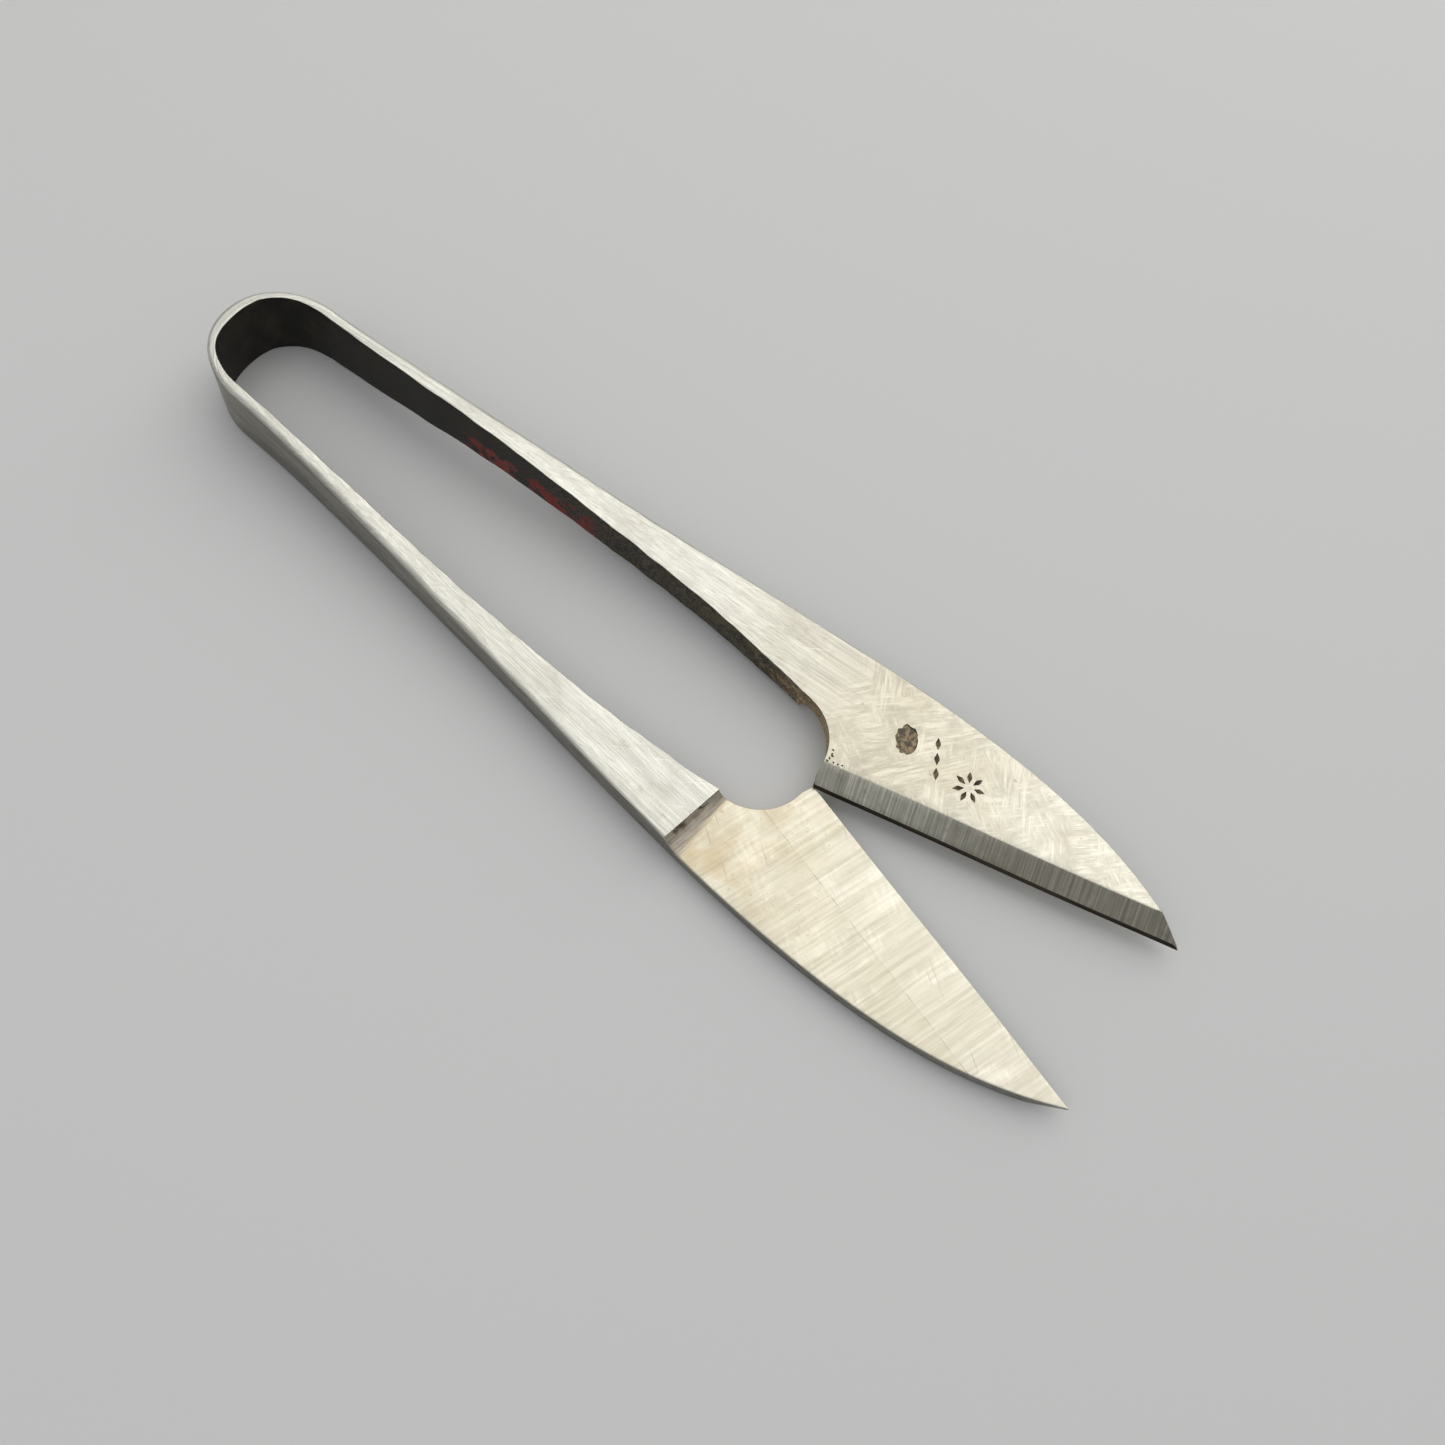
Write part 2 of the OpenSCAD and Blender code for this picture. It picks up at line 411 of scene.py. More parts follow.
def hollow_fall(limb, place):
    """How far the filed shoulder still stands off the flat face at a plan point."""
    p, q = bar_station(limb, SHOULDER)
    share = min(max((place.y - p.y) / (q.y - p.y), 0), 1)
    past = place.x - (p.x + (q.x - p.x) * share)
    run = HOLLOW_IN + (HOLLOW_OUT - HOLLOW_IN) * share
    if past >= run:
        return 0.0
    step = STEP_IN + (STEP_OUT - STEP_IN) * share ** STEP_FADE
    whole = abs(limb.front(SHOULDER) - limb.flat)
    return (whole - step) * (1 - max(past, 0) / run) ** HOLLOW_CURVE


def blade_heights(limb, place):
    """Low and high surface of a blade."""
    distance = max(off_edge(limb, place), 0)
    full = abs(limb.back(place.x) - limb.flat)
    if distance < limb.hone_w:
        thick = limb.land + (limb.hone_h - limb.land) * distance / limb.hone_w
    else:
        share = (distance - limb.hone_w) / (limb.bevel_w - limb.hone_w)
        thick = limb.hone_h + (full - limb.hone_h) * share
    thick = min(thick, full)
    fall = hollow_fall(limb, place)
    if limb.face_up:
        return limb.flat - thick, limb.flat + fall
    return limb.flat - fall, limb.flat + thick


# %% [markdown]
# ## One cross-section
# A ring is a closed loop of points: down the inner wall, out along the low surface, up the
# outer wall and back along the high surface, with a rounded corner at each turn. The outer
# corners are worn round by forging and by the hand, and the inner ones stay crisp. Every
# ring has the same number of points, so rings join into quads, and places that collapse
# where there is no bevel are merged afterwards.

# %% Corner radii along the bar
CORNERS = {
    "low_in": [(0, 0.15), (SHOULDER, 0.15), (LENGTH, 0.03)],
    "low_out": {1: [(0, 0.7), (45, 0.75), (SHOULDER, 0.6), (SHOULDER + 1, 0.06), (LENGTH, 0.03)],
                -1: [(0, 0.7), (45, 0.8), (SHOULDER, 0.7), (SHOULDER + 12, 0.3), (LENGTH, 0.1)]},
    "high_in": [(0, 0.13), (LEG_END, 0.1), (SHOULDER, 0.07), (LENGTH, 0.03)],
    "high_out": {1: [(0, 0.72), (LEG_END, 0.7), (45, 0.62), (60, 0.3), (LENGTH, 0.14)],
                 -1: [(0, 0.72), (LEG_END, 0.66), (50, 0.45), (SHOULDER, 0.25),
                      (SHOULDER + 3, 0.16), (LENGTH, 0.1)]},
}


def corner_radius(limb, name, x, limit):
    knots = CORNERS[name]
    if isinstance(knots, dict):
        knots = knots[limb.side]
    places, radii = zip(*knots)
    return min(float(np.interp(x, places, radii)), limit)


# %% Build one ring
WALL_STEPS = 5
ROUND_STEPS = 6
FACE_STEPS = (2, 5, 1, 9)
RIDGE_SOFT = 0.05
CORNER_ROOM = 0.45


def quarter(count=ROUND_STEPS):
    return [math.pi / 2 * i / count for i in range(count + 1)]


def face_marks(limb, p, step, start, end):
    """Where a face's points stand: at the honed face, both sides of the ridge, and between."""
    lean = step.dot(limb.inward)
    marks = [start]
    for distance in (limb.hone_w, limb.bevel_w - RIDGE_SOFT, limb.bevel_w + RIDGE_SOFT):
        r = (distance - off_edge(limb, p)) / lean if lean > 0.05 else start
        marks.append(min(max(r, start), end))
    marks.append(end)
    places = []
    for a, b, count in zip(marks, marks[1:], FACE_STEPS):
        places += [a + (b - a) * i / count for i in range(1, count + 1)]
    return places[:-1]


def ring(limb, p, q, heights):
    """The points of one cross-section that stands between plan points p and q."""
    width = (q - p).length
    step = (q - p) / width

    def low(r):
        return heights(limb, p + step * r)[0]

    def high(r):
        return heights(limb, p + step * r)[1]

    room_in = CORNER_ROOM * min(high(0) - low(0), width)
    room_out = CORNER_ROOM * min(high(width) - low(width), width)
    low_in = corner_radius(limb, "low_in", p.x, room_in)
    high_in = corner_radius(limb, "high_in", p.x, room_in)
    low_out = corner_radius(limb, "low_out", q.x, room_out)
    high_out = corner_radius(limb, "high_out", q.x, room_out)
    points = []

    def wall(r, a, b):
        points.extend((r, a + (b - a) * i / WALL_STEPS) for i in range(1, WALL_STEPS))

    def corner(edge, turn, surface, lift, radius, angles):
        for a in angles:
            r = edge + turn * radius * (1 - math.cos(a))
            points.append((r, surface(r) + lift * radius * (1 - math.sin(a))))

    wall(0, high(0) - high_in, low(0) + low_in)
    corner(0, 1, low, 1, low_in, quarter())
    points.extend((r, low(r)) for r in face_marks(limb, p, step, low_in, width - low_out))
    corner(width, -1, low, 1, low_out, quarter()[::-1])
    wall(width, low(width) + low_out, high(width) - high_out)
    corner(width, -1, high, -1, high_out, quarter())
    points.extend((r, high(r)) for r in face_marks(limb, p, step, high_in, width - high_out)[::-1])
    corner(0, 1, high, -1, high_in, quarter()[::-1])
    return [to_frame(*(p + step * r), max(z, 0)) for r, z in points]


print("points in a ring", len(ring(upper, *bar_station(upper, LEG_END), bar_heights)))

# %% [markdown]
# ## From rings to a closed mesh
# Lofting by hand in bmesh keeps full control of where the edges run. A curve with a bevel
# profile would be quicker, but it can't change its section from a band to a blade.

# %% Loft rings into an object
MERGE = 1e-6
SHARP = math.radians(27)


def to_object(name, bm):
    """Turns a finished bmesh into an object in the scene."""
    mesh = bpy.data.meshes.new(name)
    bm.to_mesh(mesh)
    bm.free()
    made = bpy.data.objects.new(name, mesh)
    bpy.context.scene.collection.objects.link(made)
    return made


def loft(name, rings):
    """A closed mesh object through the rings, capped at both ends."""
    bm = bmesh.new()
    rows = [[bm.verts.new(point) for point in one] for one in rings]
    for a, b in zip(rows, rows[1:]):
        for i in range(len(a)):
            j = (i + 1) % len(a)
            bm.faces.new((a[i], a[j], b[j], b[i]))
    bm.faces.new(rows[0][::-1])
    bm.faces.new(rows[-1])
    bmesh.ops.remove_doubles(bm, verts=bm.verts, dist=MERGE)
    bmesh.ops.dissolve_degenerate(bm, dist=MERGE, edges=bm.edges)
    bmesh.ops.recalc_face_normals(bm, faces=bm.faces)
    return to_object(name, bm)


def smooth(piece):
    """Smooth shading that keeps real edges sharp."""
    piece.data.shade_smooth()
    piece.data.set_sharp_from_angle(angle=SHARP)


# %% Bow crown
STATION = 0.6
BOW_TURN = math.radians(3)
CROWN_LOOK = math.radians(50)
middle_y = (lower.bow_in(CROWN_LOOK) + lower.bow_out(CROWN_LOOK)) / 2 * math.sin(CROWN_LOOK)
crown_turn = math.atan2(middle_y, BOW_EYE - CROWN_END)
half_turns = steps(0, crown_turn, BOW_TURN)
crown_rings = [ring(lower, *bow_station(lower, t), bar_heights) for t in half_turns[:0:-1]]
crown_rings += [ring(upper, *bow_station(upper, t), bar_heights) for t in half_turns]
crown = loft("crown_of_bow", crown_rings)
print("crown turns", round(math.degrees(crown_turn), 1), "faces", len(crown.data.polygons))

# %% Legs and arms


def leg_rings(limb):
    turned = [bow_station(limb, t) for t in steps(crown_turn, math.pi / 2, BOW_TURN)]
    straight = [bar_station(limb, x) for x in steps(BOW_EYE, LEG_END, STATION)[1:]]
    return [ring(limb, p, q, bar_heights) for p, q in turned + straight]


def arm_rings(limb):
    turning = SHOULDER - SKEW_RUN
    places = steps(LEG_END, turning, STATION) + steps(turning, SHOULDER, STATION / 2)[1:]
    return [ring(limb, *bar_station(limb, x), bar_heights) for x in places]


LIMBS = {upper: "upper", lower: "lower"}
legs = {limb: loft(word + "_leg", leg_rings(limb)) for limb, word in LIMBS.items()}
arms = {limb: loft(word + "_grip_arm", arm_rings(limb)) for limb, word in LIMBS.items()}
print("leg faces", len(legs[upper].data.polygons), "arm faces", len(arms[upper].data.polygons))

# %% [markdown]
# ## Blades in two metals
# A blade is soft iron with a thin sheet of hard steel forge-welded to its flat face along
# the edge. The whole blade is lofted first and then parted in two with Booleans, so the
# iron and the steel share the same ground surfaces to the last micron.

# %% Part a blade into iron and steel
SPARE = 6


def box_along_edge(limb):
    """The room of the steel facing, as a box that lies along the edge."""
    bm = bmesh.new()
    bmesh.ops.create_cube(bm, size=1)
    reach = (limb.tip - limb.heel).length + 2 * SPARE
    deep = limb.steel_t + SPARE
    low, high = -SPARE, limb.steel_w
    lift = deep / 2 - limb.steel_t
    centre = (limb.heel + limb.tip) / 2 + limb.inward * (low + high) / 2
    z = limb.flat + (lift if limb.face_up else -lift)
    place = Matrix.Translation(to_frame(*centre, z))
    turn = Matrix.Rotation(math.atan2(limb.along.y, limb.along.x), 4, "Z")
    size = Matrix.Diagonal((reach * MM, (high - low) * MM, deep * MM, 1))
    bm.transform(place @ turn @ size)
    return to_object("steel_room", bm)


def boolean(piece, cutter, operation, own=False):
    """Applies one exact Boolean to the piece."""
    cut = piece.modifiers.new("cut", "BOOLEAN")
    cut.object = cutter
    cut.operation = operation
    cut.solver = "EXACT"
    cut.use_self = own
    done = bpy.data.meshes.new_from_object(piece.evaluated_get(bpy.context.evaluated_depsgraph_get()))
    piece.modifiers.clear()
    piece.data = done


def part_blade(limb, word):
    rings = [ring(limb, p, q, blade_heights) for p, q in blade_stations(limb)]
    iron = loft(word + "_blade_iron", rings)
    steel = iron.copy()
    steel.data = iron.data.copy()
    steel.name = word + "_blade_steel"
    bpy.context.scene.collection.objects.link(steel)
    room = box_along_edge(limb)
    boolean(iron, room, "DIFFERENCE")
    boolean(steel, room, "INTERSECT")
    bpy.data.objects.remove(room)
    return iron, steel


blades = {limb: part_blade(limb, word) for limb, word in LIMBS.items()}
for iron, steel in blades.values():
    print(iron.name, len(iron.data.polygons), steel.name, len(steel.data.polygons))

# %% [markdown]
# ## Punched marks
# A maker strikes a mark into the upper blade with small chisels. The marks here are plain
# ones: an oval with a rough floor, three drops and a rosette. Beside them stand a few pits
# of the forging, where the ridge of the bevel starts. They are all cut into the metal
# with solid cutters, because a real chisel mark has steep walls that catch the light, and
# a picture of one would look printed.

# %% Cutters for the marks
MARK_DEPTH = 0.16


def wedge(bm, x, y, z, turn, length, width, depth=MARK_DEPTH):
    """A chisel-shaped cutter that points down at a place on top of the blade."""
    along = Vector((math.cos(turn), math.sin(turn)))
    side = Vector((-along.y, along.x))
    centre = Vector((x, y))
    rim = [along * length / 2, side * width / 2, -along * length / 2, -side * width / 2]
    keel = [along * length * 0.22, -along * length * 0.3]
    points = [to_frame(*(centre + r * 1.5), z + depth / 2) for r in rim]
    points += [to_frame(*(centre + k), z - depth) for k in keel]
    verts = [bm.verts.new(p) for p in points]
    bmesh.ops.convex_hull(bm, input=verts)


OVAL_POINTS = 40
OVAL_ROWS = (1.0, 0.94, 0.78, 0.6, 0.42, 0.22)


def rough_oval(bm, x, y, z, long, wide, turn, depth=0.14):
    """A cutter with a torn rim and an uneven bottom."""
    rows = []
    for row, share in enumerate(OVAL_ROWS):
        points = []
        for i in range(OVAL_POINTS):
            a = 2 * math.pi * i / OVAL_POINTS
            torn = 1 + 0.22 * noise.noise(Vector((2.6 * math.cos(a), 2.6 * math.sin(a), 4.0)))
            u = share * torn * long / 2 * math.cos(a)
            v = share * torn * wide / 2 * math.sin(a)
            px = x + u * math.cos(turn) - v * math.sin(turn)
            py = y + u * math.sin(turn) + v * math.cos(turn)
            down = depth * (0.75 + 0.6 * noise.noise(Vector((2.4 * px, 2.4 * py, 7.0))))
            points.append(bm.verts.new(to_frame(px, py, z + depth if row == 0 else z - down)))
        rows.append(points)
    for outer, inner in zip(rows, rows[1:]):
        for i in range(OVAL_POINTS):
            j = (i + 1) % OVAL_POINTS
            bm.faces.new((outer[i], outer[j], inner[j], inner[i]))
    bm.faces.new(rows[0][::-1])
    middle = bm.verts.new(to_frame(x, y, z - depth))
    for i in range(OVAL_POINTS):
        bm.faces.new((rows[-1][i], rows[-1][(i + 1) % OVAL_POINTS], middle))


def rosette(bm, x, y, z, radius, count):
    """Short cuts that stand round a circle like petals."""
    for i in range(count):
        a = 2 * math.pi * i / count + 0.3
        wedge(bm, x + radius * math.cos(a), y + radius * math.sin(a), z, a, radius * 1.0, 0.5)


# %% Place the marks
PIT_PLACES = ((0.2, 0.3), (0.22, 0.62), (0.17, 1.05), (0.32, 0.95),
              (0.0, 1.45), (0.75, 0.5), (1.15, 0.62), (1.5, 0.78))
mark_top = upper.back(SHOULDER + 13)
marks_bm = bmesh.new()
rough_oval(marks_bm, SHOULDER + 10.1, 8.35, mark_top, 2.9, 2.1, math.radians(-62))
for drop in range(3):
    wedge(marks_bm, SHOULDER + 12.5 + 0.75 * drop, 9.9 - 1.25 * drop, mark_top, math.radians(-58),
          1.05, 0.5)
rosette(marks_bm, SHOULDER + 17.0, 8.3, mark_top, 1.0, 7)
ridge_start = next(p for p, q in blade_stations(upper) if off_edge(upper, p) < upper.bevel_w)
for turn, (along, aside) in enumerate(PIT_PLACES):
    wedge(marks_bm, ridge_start.x + along, ridge_start.y + aside, upper.back(SHOULDER + 7), 2.4 * turn,
          0.34 - 0.02 * turn, 0.2, 0.07)
bmesh.ops.recalc_face_normals(marks_bm, faces=marks_bm.faces)
marks = to_object("marks", marks_bm)
boolean(blades[upper][0], marks, "DIFFERENCE", own=True)
bpy.data.objects.remove(marks)
print("upper blade after marks", len(blades[upper][0].data.polygons))

# %% [markdown]
# ## Shared effects as node groups
# File lines, clouds of patina, pits and stray scratches turn up on several finishes, each
# time with other values. Each effect is one node group that works in millimetres of object
# space, so it needs no texture map and moves along with every piece that moves as a whole.

# %% Node helpers


def add(tree, kind, inputs=None, **settings):
    """Adds a node, sets its options, and fills or links its inputs."""
    made = tree.nodes.new("ShaderNode" + kind)
    for name, value in settings.items():
        setattr(made, name, value)
    for socket, value in (inputs or {}).items():
        if isinstance(value, bpy.types.NodeSocket):
            tree.links.new(value, made.inputs[socket])
        else:
            made.inputs[socket].default_value = value
    return made


def math_node(tree, operation, a, b=0.0):
    return add(tree, "Math", {0: a, 1: b}, operation=operation).outputs[0]


def times(tree, a, b):
    return math_node(tree, "MULTIPLY", a, b)


def plus(tree, a, b):
    return math_node(tree, "ADD", a, b)


def minus(tree, a, b):
    return math_node(tree, "SUBTRACT", a, b)


def scale(tree, vector, factor):
    return add(tree, "VectorMath", {0: vector, "Scale": factor}, operation="SCALE").outputs[0]


def between(tree, value, low, high, out_low=0.0, out_high=1.0):
    """A smooth change from out_low to out_high while the value goes from low to high."""
    made = add(tree, "MapRange", {"Value": value, "From Min": low, "From Max": high,
                                  "To Min": out_low, "To Max": out_high},
               interpolation_type="SMOOTHSTEP")
    return made.outputs["Result"]


def mix(tree, factor, a, b):
    """A colour between a and b."""
    made = add(tree, "Mix", {0: factor, 6: a, 7: b}, data_type="RGBA")
    return made.outputs[2]


def new_group(name, inputs, outputs):
    """An empty node group with named sockets."""
    tree = bpy.data.node_groups.new(name, "ShaderNodeTree")
    for socket, kind, value in inputs:
        made = tree.interface.new_socket(socket, in_out="INPUT", socket_type=kind)
        if value is not None:
            made.default_value = value
    for socket in outputs:
        kind = "NodeSocketColor" if socket == "Colour" else "NodeSocketFloat"
        tree.interface.new_socket(socket, in_out="OUTPUT", socket_type=kind)
    return tree, tree.nodes.new("NodeGroupInput").outputs, tree.nodes.new("NodeGroupOutput").inputs


def use(tree, group, **inputs):
    """Places a group in a material with its own values."""
    made = tree.nodes.new("ShaderNodeGroup")
    made.node_tree = group
    for socket, value in inputs.items():
        socket = socket.replace("_", " ")
        if isinstance(value, bpy.types.NodeSocket):
            tree.links.new(value, made.inputs[socket])
        else:
            made.inputs[socket].default_value = value
    return made.outputs[0] if len(made.outputs) == 1 else made.outputs


# %% File lines
FLOAT = "NodeSocketFloat"
VECTOR = "NodeSocketVector"
file_lines, given, out = new_group(
    "file_lines",
    [("Place", VECTOR, None), ("Turn", FLOAT, 0.0), ("Fineness", FLOAT, 5.0), ("Upright", FLOAT, 1.0),
     ("Run", FLOAT, 9.0)],
    ["Lines"])
turned = add(file_lines, "VectorRotate", {"Vector": given["Place"], "Angle": given["Turn"]},
             rotation_type="Z_AXIS").outputs[0]
slow = math_node(file_lines, "DIVIDE", 1.0, given["Run"])
stretch = add(file_lines, "CombineXYZ",
              {"X": slow, "Y": given["Fineness"], "Z": given["Upright"]}).outputs[0]
drawn = add(file_lines, "VectorMath", {0: turned, 1: stretch}, operation="MULTIPLY").outputs[0]
streaks = add(file_lines, "TexNoise", {"Vector": drawn, "Scale": 1.0, "Detail": 4.0, "Roughness": 0.66})
file_lines.links.new(between(file_lines, streaks.outputs["Fac"], 0.32, 0.68), out["Lines"])

# %% Clouds
clouds, given, out = new_group(
    "clouds",
    [("Place", VECTOR, None), ("Size", FLOAT, 6.0), ("Low", FLOAT, 0.45), ("High", FLOAT, 0.65)],
    ["Mask"])
scaled = scale(clouds, given["Place"], math_node(clouds, "DIVIDE", 1.0, given["Size"]))
cloud = add(clouds, "TexNoise", {"Vector": scaled, "Scale": 1.0, "Detail": 4.0, "Roughness": 0.6})
clouds.links.new(between(clouds, cloud.outputs["Fac"], given["Low"], given["High"]), out["Mask"])

# %% Pits
pits, given, out = new_group(
    "pits", [("Place", VECTOR, None), ("Fineness", FLOAT, 3.0), ("Amount", FLOAT, 0.3)], ["Mask"])
scaled = scale(pits, given["Place"], given["Fineness"])
grain = add(pits, "TexNoise",
            {"Vector": scaled, "Scale": 1.0, "Detail": 3.0, "Roughness": 0.7}).outputs["Fac"]
limit = minus(pits, 0.72, times(pits, given["Amount"], 0.3))
over = plus(pits, limit, 0.05)
pits.links.new(between(pits, grain, limit, over), out["Mask"])

# %% Stray scratches
scratches, given, out = new_group(
    "scratches", [("Place", VECTOR, None), ("Turn", FLOAT, 0.3), ("Amount", FLOAT, 0.2)], ["Mask"])
turned = add(scratches, "VectorRotate", {"Vector": given["Place"], "Angle": given["Turn"]},
             rotation_type="Z_AXIS").outputs[0]
drawn = add(scratches, "VectorMath", {0: turned, 1: (0.16, 4.5, 0.5)}, operation="MULTIPLY").outputs[0]
fibre = add(scratches, "TexNoise", {"Vector": drawn, "Scale": 1.0, "Detail": 1.0}).outputs["Fac"]
limit = minus(scratches, 0.76, times(scratches, given["Amount"], 0.2))
over = plus(scratches, limit, 0.03)
scratches.links.new(between(scratches, fibre, limit, over), out["Mask"])
print("groups", [g.name for g in bpy.data.node_groups])

# %% [markdown]
# ## A bench for metals
# Every finish starts the same way: a Principled shader, the place on the snips in
# millimetres, and a bump whose height comes from the effects. A short function sets that
# up, and each finish then adds what its own tool left behind.

# %% Start a metal


def start_metal(name, metallic):
    """A new material with its tree, its shader and the place in millimetres."""
    made = bpy.data.materials.new(name)
    made.use_nodes = True
    tree = made.node_tree
    shader = tree.nodes["Principled BSDF"]
    shader.inputs["Metallic"].default_value = metallic
    coords = add(tree, "TexCoord")
    shift = scale(tree, coords.outputs["Object"], 1 / MM)
    place = add(tree, "VectorMath", {0: shift, 1: (LENGTH / 2, 0, 0)}, operation="ADD").outputs[0]
    return made, tree, shader, place


def facing_up(tree):
    """How far the surface faces up, from -1 to 1."""
    normal = add(tree, "TexCoord").outputs["Normal"]
    return add(tree, "SeparateXYZ", {0: normal}).outputs["Z"]


def finish_metal(tree, shader, colour, roughness, height, strength, depth=0.02):
    """Links the colour, the roughness and the bump of a metal."""
    tree.links.new(colour, shader.inputs["Base Color"])
    tree.links.new(roughness, shader.inputs["Roughness"])
    bump = add(tree, "Bump", {"Height": height, "Strength": strength, "Distance": depth * MM})
    tree.links.new(bump.outputs["Normal"], shader.inputs["Normal"])


# %% [markdown]
# ### Satin iron of the bow and arms
# The outside and the tops were drawn along a fine stone, so the lines run lengthwise. Two
# distances make that path: along the bar, which sweeps round the bow, and across it. The
# drawn top also runs on under the scraper marks of the upper blade, so it is a group of its
# own: fine lines, broader bands of sheen, a little stain, and a warmer tone at the gullet.

# %% Drawn top
ARM_SLOPE = 0.075
BOW_TURN_X = 8.0
BOW_REACH = 6.6
drawn_top, given, out = new_group(
    "drawn_top", [("Place", VECTOR, None)], ["Colour", "Streak", "Lines", "Stain"])
place = given["Place"]
parts = add(drawn_top, "SeparateXYZ", {0: place}).outputs
past_bow = minus(drawn_top, parts["X"], BOW_TURN_X)
on_bar = math_node(drawn_top, "MAXIMUM", past_bow, 0.0)
on_bow = math_node(drawn_top, "MINIMUM", past_bow, 0.0)
aside = math_node(drawn_top, "ABSOLUTE", parts["Y"])
sweep = plus(drawn_top, math_node(drawn_top, "ARCTAN2", on_bow, aside), math.pi / 2)
along = plus(drawn_top, on_bar, times(drawn_top, sweep, BOW_REACH))
along = times(drawn_top, along, math_node(drawn_top, "SIGN", parts["Y"]))
from_eye = add(drawn_top, "CombineXYZ", {"X": on_bow, "Y": aside}).outputs[0]
across = add(drawn_top, "VectorMath", {0: from_eye}, operation="LENGTH").outputs["Value"]
across = minus(drawn_top, across, times(drawn_top, on_bar, ARM_SLOPE))
on_path = add(drawn_top, "CombineXYZ", {"X": along, "Y": across, "Z": parts["Z"]}).outputs[0]
lines = use(drawn_top, file_lines, Place=on_path, Fineness=5.5, Upright=5.0, Run=45.0)
fine = use(drawn_top, file_lines, Place=on_path, Fineness=12.0, Upright=11.0, Run=26.0)
sheen = use(drawn_top, file_lines, Place=on_path, Fineness=0.7, Upright=0.3, Run=22.0)
stain = use(drawn_top, clouds, Place=place, Size=7.0, Low=0.5, High=0.72)
tan_spots = use(drawn_top, clouds, Place=place, Size=1.6, Low=0.60, High=0.75)
streak = plus(drawn_top, times(drawn_top, lines, 0.45), times(drawn_top, fine, 0.35))
streak = plus(drawn_top, streak, times(drawn_top, sheen, 0.2))
streak = between(drawn_top, streak, -0.10, 1.06)
cool = mix(drawn_top, streak, (0.48, 0.47, 0.415, 1), (0.86, 0.85, 0.77, 1))
warm = mix(drawn_top, streak, (0.43, 0.41, 0.345, 1), (0.80, 0.77, 0.66, 1))
scraped_side = math_node(drawn_top, "GREATER_THAN", parts["Y"], 0.0)
at_gullet = between(drawn_top, parts["X"], SHOULDER - 16, SHOULDER)
top = mix(drawn_top, times(drawn_top, at_gullet, scraped_side), cool, warm)
top = mix(drawn_top, times(drawn_top, stain, 0.25), top, (0.52, 0.48, 0.39, 1))
top = mix(drawn_top, times(drawn_top, tan_spots, 0.35), top, (0.42, 0.33, 0.22, 1))
for socket, value in (("Colour", top), ("Streak", streak), ("Lines", lines), ("Stain", stain)):
    drawn_top.links.new(value, out[socket])

# %% [markdown]
# The sides of the bow and arms are coloured darker and browner than the tops: painted shade on faces that
# turn away from the light. The facing of the surface mixes the two, and keeps stray scratches on top.

# %% Satin iron
satin_iron, tree, shader, place = start_metal("satin_iron", 1.0)
drawn = use(tree, drawn_top, Place=place)
nicks = use(tree, scratches, Place=place, Turn=-0.6, Amount=0.35)
up = between(tree, facing_up(tree), 0.15, 0.85)
# painted shade: the sides take this darker, browner colour, mixed in by how far the surface faces up
side = mix(tree, drawn["Streak"], (0.08, 0.072, 0.058, 1), (0.42, 0.40, 0.345, 1))
colour = mix(tree, up, side, drawn["Colour"])
nicks = times(tree, times(tree, nicks, up), 0.4)
colour = mix(tree, nicks, colour, (0.85, 0.83, 0.78, 1))
rough = plus(tree, times(tree, drawn["Lines"], 0.12), 0.30)
rough = plus(tree, rough, times(tree, drawn["Stain"], 0.1))
finish_metal(tree, shader, colour, rough, drawn["Streak"], 0.9, 0.018)

# %% [markdown]
# ### Forge scale on the inner walls
# Nobody files the inside of the bow. It keeps its near-black scale, with a few traces of
# red oxide paint on the +Y arm, then brown specks, and towards the gullet the scale has
# broken into pitted yellow-brown rust.

# %% Forge scale
forge_scale, tree, shader, place = start_metal("forge_scale", 0.35)
parts = add(tree, "SeparateXYZ", {0: place}).outputs
rough_grain = use(tree, pits, Place=place, Fineness=2.2, Amount=0.55)
small_grain = use(tree, pits, Place=place, Fineness=5.5, Amount=0.6)
soft = use(tree, clouds, Place=place, Size=2.4, Low=0.40, High=0.68)
rust_zone = between(tree, parts["X"], 44.0, 60.0)
deep_zone = between(tree, parts["X"], 58.0, 70.0)
rust = use(tree, clouds, Place=place, Size=0.9, Low=0.42, High=0.62)
rust = times(tree, rust, rust_zone)
rust = math_node(tree, "MAXIMUM", rust, times(tree, deep_zone, 0.75))
colour = mix(tree, soft, (0.008, 0.007, 0.005, 1), (0.050, 0.040, 0.026, 1))
speckled = times(tree, between(tree, parts["X"], 24.0, 44.0), 0.8)
speckled = times(tree, speckled, use(tree, pits, Place=place, Fineness=4.0, Amount=0.75))
colour = mix(tree, speckled, colour, (0.13, 0.105, 0.066, 1))
brown = mix(tree, deep_zone, (0.15, 0.125, 0.070, 1), (0.60, 0.42, 0.21, 1))
colour = mix(tree, rust, colour, brown)
colour = mix(tree, times(tree, small_grain, rust_zone), colour, (0.012, 0.010, 0.008, 1))
paint_zone = times(tree, between(tree, parts["X"], 23.0, 26.0), between(tree, parts["X"], 41.0, 38.5))
paint_side = math_node(tree, "GREATER_THAN", parts["Y"], 0.0)
paint_low = between(tree, parts["Z"], 4.4, 3.4)
red = use(tree, clouds, Place=place, Size=2.0, Low=0.48, High=0.56)
for zone in (paint_zone, paint_side, paint_low):
    red = times(tree, red, zone)
colour = mix(tree, red, colour, (0.24, 0.030, 0.022, 1))
rough = plus(tree, times(tree, soft, 0.2), 0.5)
height = plus(tree, times(tree, rough_grain, -0.6), times(tree, small_grain, -0.4))
height = times(tree, height, plus(tree, rust_zone, 0.25))
finish_metal(tree, shader, colour, rough, height, 0.8, 0.05)

